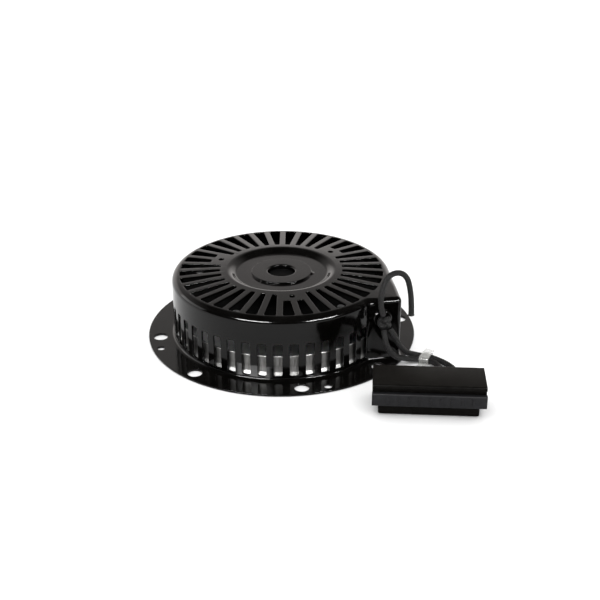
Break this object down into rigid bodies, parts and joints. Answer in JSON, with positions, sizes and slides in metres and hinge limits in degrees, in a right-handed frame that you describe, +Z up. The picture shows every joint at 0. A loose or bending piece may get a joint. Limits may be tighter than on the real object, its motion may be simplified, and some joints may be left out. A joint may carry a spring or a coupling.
{
  "type": "recoil starter",
  "caption": "Round pull-rope engine starter in a slotted sheet-metal housing, with a spring-return pulley, swing-out dogs, rope and grip.",
  "frame": {"origin": "centre of the mounting flange's underside, on the drum axis", "axes": "+Z up along the drum axis, from the flange towards the grille; -Y roughly the way the rope leaves; +X completes the frame"},
  "size_m": [0.2726, 0.2688, 0.0828],
  "materials": {
    "housing_paint": "glossy black baked enamel on pressed steel sheet",
    "post_steel": "turned steel, oiled",
    "bright_sheet": "drawn zinc-plated sheet with upright draw lines",
    "brass": "plain bearing washer",
    "pulley_plastic": "moulded black glass-filled nylon",
    "spring_steel": "blued spring steel with a film of grease",
    "cover_paint": "black painted sheet",
    "zinc_steel": "zinc-plated steel",
    "dog_steel": "hardened stamped steel",
    "rope": "black braided polyester starter rope",
    "clear_film": "clear plastic strip",
    "grip_plastic": "satin black moulded plastic with fine lengthwise lines",
    "panel_plastic": "satin black moulded plastic with raised ribs"
  },
  "bodies": {
    "frame": {"housing": "housing_paint", "centre_post": "post_steel", "rope_eyelet": "housing_paint", "guard_ring": "bright_sheet", "thrust_washer": "brass", "rewind_spring": "spring_steel", "retainer_washer": "zinc_steel", "centre_screw": "zinc_steel", "rope_lead": "rope"},
    "pulley": {"pulley": "pulley_plastic", "spring_cover": "cover_paint", "cover_rivets": "zinc_steel", "rope_coil": "rope", "rope_end_knot": "rope", "dog_pin_1": "zinc_steel", "dog_pin_2": "zinc_steel", "dog_spring_1": "spring_steel", "dog_spring_2": "spring_steel"},
    "retainer": {"retainer": "zinc_steel", "brake_spring": "spring_steel"},
    "dog_1": {"dog_1": "dog_steel"},
    "dog_2": {"dog_2": "dog_steel"},
    "handle": {"handle_grip": "grip_plastic", "handle_panel": "panel_plastic", "handle_insert": "zinc_steel", "rope_knot": "rope", "rope_strand_front": "rope", "rope_strand_back": "rope", "rope_tail": "rope", "rope_tie": "clear_film"}
  },
  "joints": [
    {"name": "pulley_spin", "type": "hinge", "parent": "frame", "child": "pulley", "pos_m": [0, 0, 0.04], "axis": [0, 0, -1], "range_deg": [0, 1800], "stiffness_Nm_per_rad": 0.026, "springref_deg": -401.07, "deforming": ["rewind_spring", "rope_coil"]},
    {"name": "handle_pull", "type": "slide", "parent": "frame", "child": "handle", "axis": [0.1736, -0.9848, 0], "range_m": [0, 2.085], "deforming": ["rope_lead"]},
    {"name": "retainer_turn", "type": "hinge", "parent": "pulley", "child": "retainer", "pos_m": [0, 0, 0.0158], "axis": [0, 0, 1], "range_deg": [0, 20], "stiffness_Nm_per_rad": 0.01, "springref_deg": -17.19},
    {"name": "dog_1_swing", "type": "hinge", "parent": "pulley", "child": "dog_1", "pos_m": [0, 0.034, 0.0237], "axis": [0, 0, 1], "range_deg": [0, 30], "deforming": ["dog_spring_1"]},
    {"name": "dog_2_swing", "type": "hinge", "parent": "pulley", "child": "dog_2", "pos_m": [0, -0.034, 0.0237], "axis": [0, 0, 1], "range_deg": [0, 30], "deforming": ["dog_spring_2"]}
  ],
  "couplings": [
    {"joint": "handle_pull", "follows": "pulley_spin", "m_per_rad": 0.0663},
    {"joint": "dog_1_swing", "follows": "retainer_turn", "ratio": 1.5},
    {"joint": "dog_2_swing", "follows": "retainer_turn", "ratio": 1.5}
  ]
}
